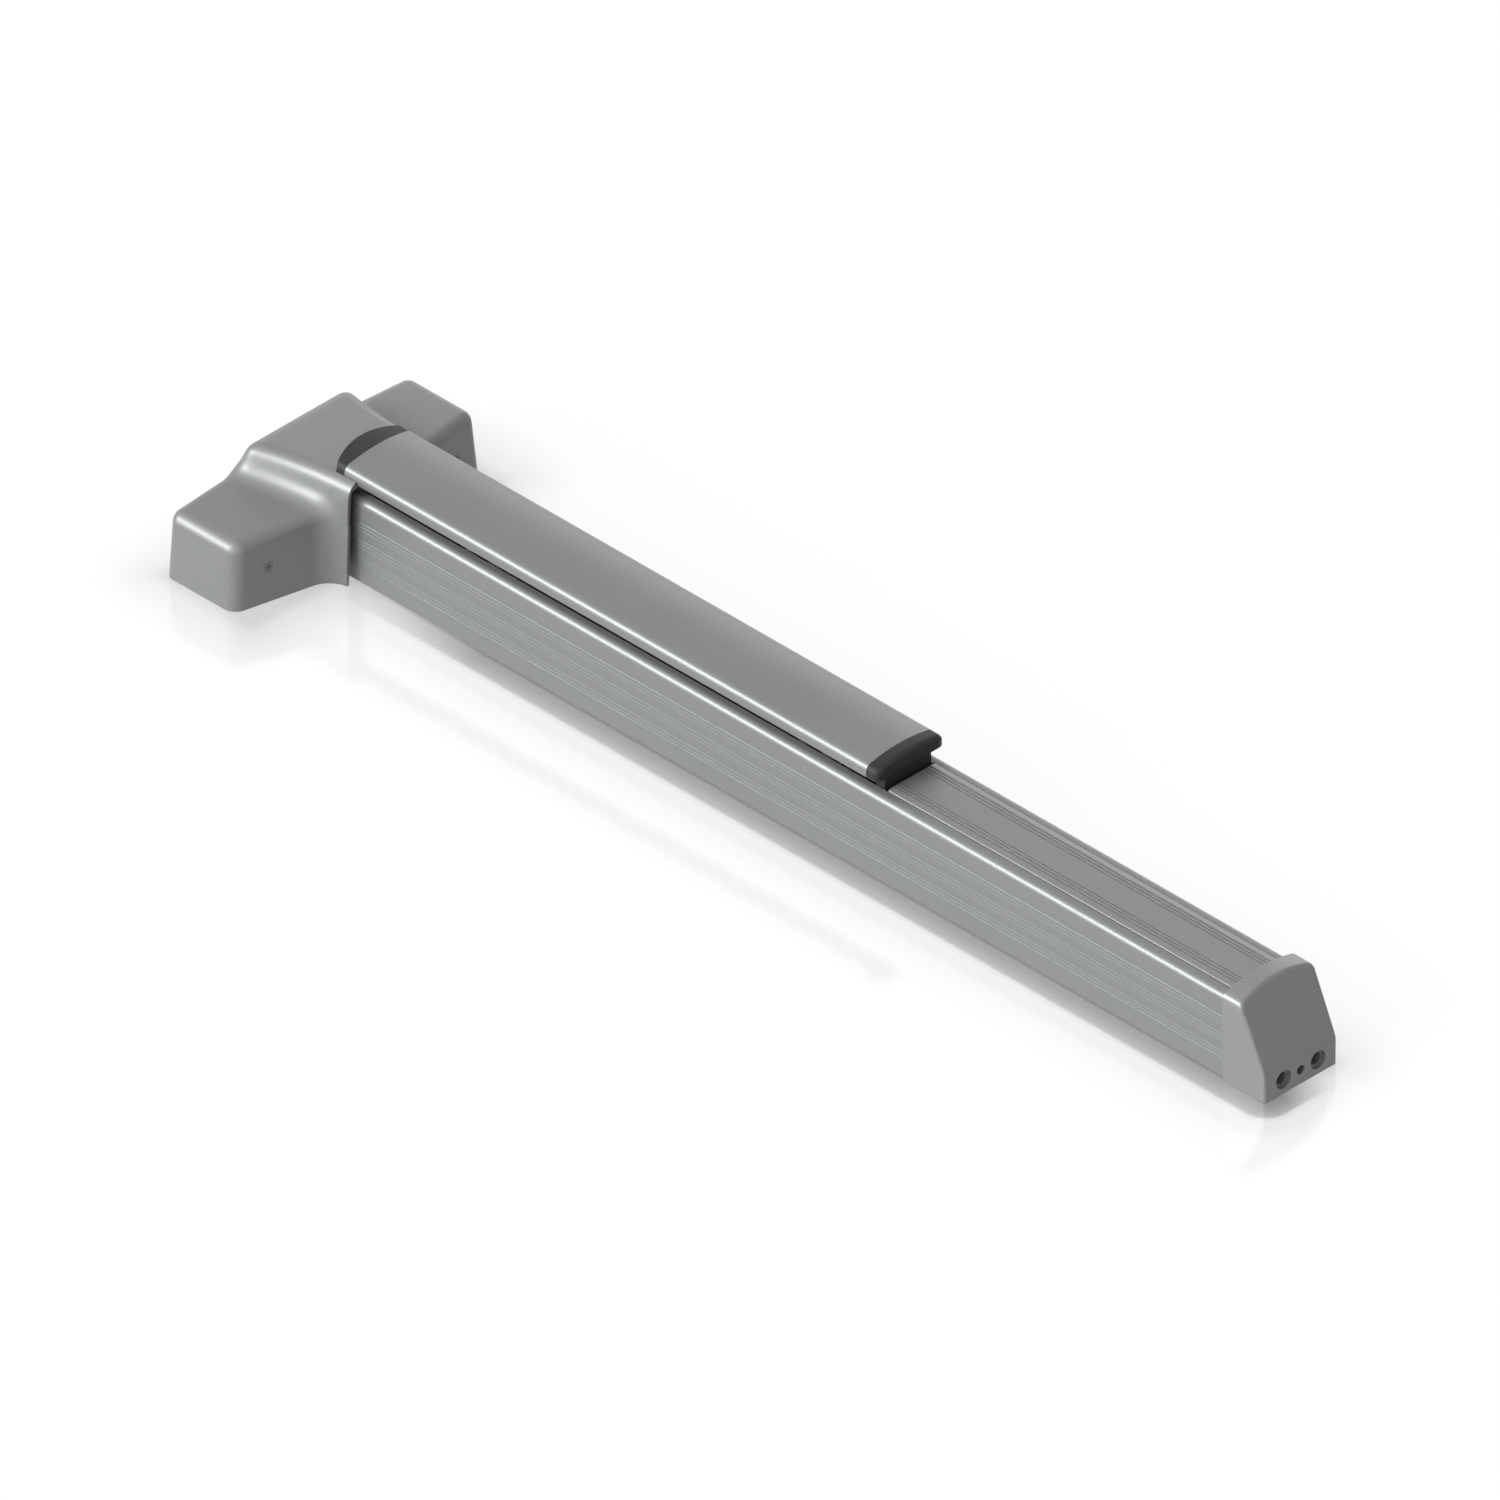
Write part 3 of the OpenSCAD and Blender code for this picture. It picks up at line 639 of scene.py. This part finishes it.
cap = {
    'startX': 774.0,
    'endX': 809.0,
    'endPeak': (0.7, 20),
    'plainX': 783,
    'stations': (72, 40),
    'rays': (150, 60),
    'reach': (1.0, 100.0),
    'rounds': 20,
    'half': 30.2,
    'sideLean': 59,
    'crownDrop': 27.9,
    'crownRadius': 95.4,
    'rise': 19.0,
    'slope': 20.7,
    'slopeTop': 64.0,
    'topRound': 3.5,
    'edgeRound': 1.8,
    'wall': 2.0,
    'screwY': 14.5,
    'screwZ': 10.0,
    'bossBack': 14,
    'boss': (7.6, 13),
    'middleBack': 12,
    'middleBoss': (4.6, 11),
    'bores': [(6.3, 3.5), (4.3, 13), (2.3, 18)],
    'middleBore': (3.1, 11),
}

sleeve = {
    'half': 28.1,
    'top': 60.0,
    'round': 5.0,
    'gap': 0.4,
    'fillerHalf': 20.3,
    'fillerRise': 2.1,
    'depth': 3,
    'steps': 8,
}


def capForm(x, y, z):
    side = abs(y) - (cap['half'] + z / cap['sideLean'])
    crown = math.hypot(y, z + cap['crownDrop']) - cap['crownRadius']
    tall = cap['slopeTop'] - cap['rise']
    face = ((x - cap['endX']) * tall + (z - cap['rise']) * cap['slope']) / math.hypot(cap['slope'], tall)
    return rounded([rounded([side, crown], cap['topRound']), x - cap['endX'], face], cap['edgeRound'])


def capSkin(inset, startX, endX, stationCount, rayCount):
    def weight(x):
        spread, height = cap['endPeak']
        return 1 + 1.2 * (x > cap['plainX']) + height * math.exp(-((x - endX) / spread) ** 2)

    def pointAt(x, angle):
        def spot(reach):
            return x, reach * math.cos(angle), reach * math.sin(angle)

        return spot(leaveReach(*cap['reach'], cap['rounds'], lambda reach: capForm(*spot(reach)) + inset))

    return castSkin(evenPlaces(startX, endX, stationCount, weight),
                    [math.pi * i / rayCount for i in range(rayCount + 1)], pointAt)


def sleevePlan():  # section of the room for the rail's end and the filler on it
    half, top, r, gap = sleeve['half'], sleeve['top'], sleeve['round'], sleeve['gap']
    turns = [math.pi / 2 * (1 - i / sleeve['steps']) for i in range(sleeve['steps'] + 1)]
    edge = [(sleeve['fillerHalf'], top + sleeve['fillerRise']), (sleeve['fillerHalf'], top + gap)]
    edge += [(half - r + (r + gap) * math.cos(t), top - r + (r + gap) * math.sin(t)) for t in turns]
    edge.append((half + gap, -1))
    return edge + [(-y, z) for y, z in reversed(edge)]


def makeEndCap():
    startX, endX, screwY, screwZ = cap['startX'], cap['endX'], cap['screwY'], cap['screwZ']
    o = capSkin(0, startX, endX - 0.02, cap['stations'][0], cap['rays'][0])
    openMesh(o)
    selectEdges(o, lambda e: e.is_boundary)  # the open rim on the door side
    bpy.ops.mesh.edge_face_add()
    closeSolid()
    inner = capSkin(cap['wall'], startX + 2, endX - cap['wall'] - 0.02, cap['stations'][1], cap['rays'][1])
    openMesh(inner)
    selectEdges(inner, lambda e: e.is_boundary)
    bpy.ops.mesh.extrude_edges_move(TRANSFORM_OT_translate={'value': (0, 0, -mm)})
    bpy.ops.mesh.edge_face_add()
    closeSolid()
    combine(o, inner)
    combine(o, solidOf(sleevePlan(), 'X', startX - 1, startX + sleeve['depth']))
    for side in (-1, 1):
        combine(o, rodOf((endX - cap['bossBack'], side * screwY, screwZ), (1, 0, 0), *cap['boss']), 'UNION')
    combine(o, rodOf((endX - cap['middleBack'], 0, screwZ), (1, 0, 0), *cap['middleBoss']), 'UNION')
    for side in (-1, 1):
        for radius, depth in cap['bores']:
            combine(o, rodOf((endX + 1, side * screwY, screwZ), (-1, 0, 0), radius, depth))
    combine(o, rodOf((endX + 1, 0, screwZ), (-1, 0, 0), *cap['middleBore']))
    settle(o, "endCap", 32)
    coat(o, capPaint)
    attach(o, "case")
    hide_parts("end_cap")
    print("end cap made", len(o.data.polygons))


makeEndCap()


# extrusions, screws and bolts: the CAD's own sections, with broken edges

def dress(nodeName, body, material, name, edge, sharp, angle=30, segments=2):
    o = copyOf(nodeName)
    apply(o, 'BEVEL', width=edge * mm, segments=segments, limit_method='ANGLE',
          angle_limit=math.radians(sharp))
    settle(o, name, angle, True)
    coat(o, material)
    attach(o, body)
    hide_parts(nodeName)


dress("rail", "case", railPaint, "rail", edge=0.3, sharp=60)
dress("filler_plate", "case", fillerPaint, "fillerPlate", edge=0.5, sharp=60, angle=40,
      segments=3)
dress("push_bar", "bar", barPaint, "pushBar", edge=0.25, sharp=60)
dress("end_cap_screws", "case", screwPaint, "endCapScrews", edge=0.25, sharp=50)
dress("cover_screws", "case", screwPaint, "coverScrews", edge=0.15, sharp=50)
dress("latch_bolt", "latch", castZinc, "latchBolt", edge=0.5, sharp=40)
dress("deadlatch", "guard", castZinc, "deadlatch", edge=0.4, sharp=40)


# the bar's moulded caps

def finishCap(o, name, nodeName, level):
    settle(o, name, 40, level)
    coat(o, nylon)
    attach(o, "bar")
    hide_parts(nodeName)


headCap = {
    'rimX': 27.6,
    'rimZ': 67.9,
    'rimLean': -0.75,
    'rimFold': 20,
    'round': 0.8,
}


def onHeadRim(e):  # on the rim around the bowed end
    if len(e.link_faces) != 2:
        return False
    lead = [f for f in e.link_faces if f.normal.x < headCap['rimLean']]
    near = all(v.co.x < headCap['rimX'] * mm and v.co.z > headCap['rimZ'] * mm for v in e.verts)
    return len(lead) == 1 and near and e.calc_face_angle() > math.radians(headCap['rimFold'])


def makeHeadCap():
    o = copyOf("bar_head_cap")
    openMesh(o)
    bpy.ops.mesh.dissolve_limited(angle_limit=math.radians(1))
    selectEdges(o, onHeadRim)
    bpy.ops.mesh.bevel(offset=headCap['round'] * mm, segments=4, profile=0.5, clamp_overlap=True)
    closeMesh()
    finishCap(o, "barHeadCap", "bar_head_cap", True)


tail = {
    'endX': 481.2,
    'reach': 4.2,
    'inset': 2.7,
    'low': 67.9,
    'steps': 7,
}


def makeTailCap():  # the end is cut into rings, and each ring drawn in for a round nose
    o = copyOf("bar_tail_cap")
    openMesh(o)
    for i in range(tail['steps']):
        x = tail['endX'] - tail['reach'] * (1 - math.sin(math.pi / 2 * i / tail['steps']))
        bpy.ops.mesh.select_all(action='SELECT')
        bpy.ops.mesh.bisect(plane_co=(x * mm, 0, 0), plane_no=(1, 0, 0))
    closeMesh()
    nose = [v for v in o.data.vertices
            if v.co.x > (tail['endX'] - tail['reach'] - 0.1) * mm and v.co.z > tail['low'] * mm]
    wide = max(abs(v.co.y) for v in nose)
    top = max(v.co.z for v in nose)
    middle = (top + min(v.co.z for v in nose)) / 2
    for v in nose:
        t = min(max((v.co.x / mm - tail['endX'] + tail['reach']) / tail['reach'], 0), 1)
        inset = tail['inset'] * mm * (1 - math.sqrt(1 - t * t))
        v.co.y *= 1 - inset / wide
        v.co.z = middle + (v.co.z - middle) * (1 - inset / (top - middle))
    finishCap(o, "barTailCap", "bar_tail_cap", False)


makeHeadCap()
makeTailCap()
print("bar and rail made")


# inner parts keep their CAD shapes

innerParts = [
    (zincPlate, ["end_bracket", "tongue_screws", "chassis_plate", "splice_plate", "splice_screws",
                 "latch_frame", "latch_frame_rivets", "latch_pin", "latch_pull_pin", "drive_link",
                 "front_base", "rear_base", "base_screws", "front_crank_shaft", "rear_crank_shaft",
                 "front_crank_pins", "rear_crank_pins", "front_bar_bracket", "rear_bar_bracket"]),
    (castZinc, ["front_crank", "rear_crank"]),
    (rubber, ["bumpers"]),
    (springWire, ["latch_spring", "front_spring", "rear_spring"]),
]
for material, parts in innerParts:
    for part in parts:
        coat(nodes[part], material)
print("inner parts finished")


# white floor with a painted shadow band beside the rail and a painted shade halo around the head and the
# rail

stage = {
    'size': 14,
    'middle': (0.4, 0, -0.0003),
    'shadow': 0.1,
    'shadowTone': 0.35,
    'glow': 1.02,
    'gloss': 0.12,
    'glossRoughness': 0.12,
    'railFoot': (40, 808, 28.1),
    'headFoot': (-42.7, 30, 104.7),
    # painted shadow: the band's tones by distance from the rail's foot, darkest at the foot
    'band': [(0, (0.225, 0.214, 0.217)), (0.15, (0.304, 0.294, 0.297)), (0.29, (0.44, 0.43, 0.435)),
             (0.32, 0.56), (0.35, 0.8), (0.44, 0.89), (0.59, 0.9), (0.75, 0.97), (1, 1)],
    # painted shade: the halo's tones by distance from the feet
    'paintedShadeHalo': [(0, 0.7), (0.2, 0.85), (0.6, 0.95), (1, 1)],
    'footReach': 50,
    'bandGrowth': 110,
    'bandTurnY': 12,
    'bandFade': 30,
    'ambient': 0.34,
}
white = (1, 1, 1, 1)


def footDistance(x, y, low, high, half):  # from a box standing on the floor, 1 at the reach
    along = (abs(x - (low + high) / 2 * mm) - (high - low) / 2 * mm).math('MAXIMUM', 0)
    across = (abs(y) - half * mm).math('MAXIMUM', 0)
    return (along * along + across * across) ** 0.5 * (1000 / stage['footReach'])


def footShadow(k):  # painted shadow and shade by the distance from the feet: the band grows from the head on and ends round the near corner of the end cap, a halo lies round both
    x, y = k.axes()[:2]
    fromRail = footDistance(x, y, *stage['railFoot'])
    fromHead = footDistance(x, y, *stage['headFoot'])
    grown = ((x - stage['railFoot'][0] * mm) * (1000 / stage['bandGrowth'])).limited()
    left = ((stage['bandTurnY'] * mm - y) * (1000 / stage['bandFade'])).limited()
    band = k.mix(grown * left, k.ramp(fromRail, stage['paintedShadeHalo']), k.ramp(fromRail, stage['band']))
    paintedShadeHalo = k.ramp(fromHead, stage['paintedShadeHalo'])
    return k.node('ShaderNodeVectorMath', {'operation': 'MULTIPLY'}, {0: band, 1: paintedShadeHalo})


def paleFloor(name):  # glows white where it is seen, so only a tenth of the lamps' shadows shows; the painted shadow band and halo darken the glow
    k = Kit(name)
    seen = k.seen()
    eye = k.ray('Camera')
    dull = (stage['shadowTone'], stage['shadowTone'], stage['shadowTone'], 1)
    lit = k.node('ShaderNodeBsdfDiffuse', {}, {'Color': k.mix(seen, dull, white)})
    # where it is seen straight, the glow is darkened by the painted shadow band and halo
    glow = k.node('ShaderNodeEmission', {}, {'Color': k.mix(eye, white, footShadow(k)),
                                             'Strength': stage['glow']})
    mirror = k.node('ShaderNodeBsdfGlossy', {}, {'Color': white, 'Roughness': stage['glossRoughness']})
    pale = k.node('ShaderNodeMixShader', {}, {0: seen * (1 - stage['shadow']), 1: lit, 2: glow})
    shine = k.node('ShaderNodeMixShader', {}, {0: eye * stage['gloss'], 1: pale, 2: mirror})
    k.node('ShaderNodeOutputMaterial', {}, {'Surface': shine})
    return k.material


bpy.ops.mesh.primitive_plane_add(size=stage['size'], location=stage['middle'])
floor = bpy.context.active_object
settle(floor, "floor")
coat(floor, paleFloor("paleFloor"))


# lamps all along the rail: gloss and shade say whether a lamp shows in reflections and lights surfaces

lamps = {
    'keyLamp': {'direction': (-0.58, -0.72, 0.37), 'strength': 3.2, 'angle': 26, 'shade': False},
    'frontLamp': {'direction': (-0.28, -0.82, 0.45), 'strength': 2.6, 'angle': 40, 'gloss': False},
    'fillLamp': {'direction': (0, -1, 0.3), 'strength': 1.85, 'angle': 70},
    'backLamp': {'direction': (-0.58, 0.8, 0.14), 'strength': 0.6, 'angle': 40},
    'sideLamp': {'direction': (1, -0.25, 0.35), 'strength': 0.1, 'angle': 50},
}


def addLamp(name, direction, strength, angle, gloss=True, shade=True):
    way = Vector(direction).normalized()
    bpy.ops.object.light_add(type='SUN', location=Vector((0.4, 0, 0)) + way * 3,
                             rotation=way.to_track_quat('Z', 'Y').to_euler())
    lamp = bpy.context.active_object
    lamp.name = name
    lamp.data.energy = strength
    lamp.data.angle = math.radians(angle)
    lamp.visible_glossy = gloss
    lamp.visible_diffuse = shade


for name, settings in lamps.items():
    addLamp(name, **settings)

world = bpy.data.worlds.new("studio")
bpy.context.scene.world = world
world.use_nodes = True
sky = Kit(tree=world.node_tree)
air = sky.node('ShaderNodeBackground', {}, {
    'Color': white, 'Strength': sky.seen() * (1 - stage['ambient']) + stage['ambient']})
sky.node('ShaderNodeOutputWorld', {}, {'Surface': air})
bpy.context.scene.view_settings.view_transform = 'Standard'
print("stage set")
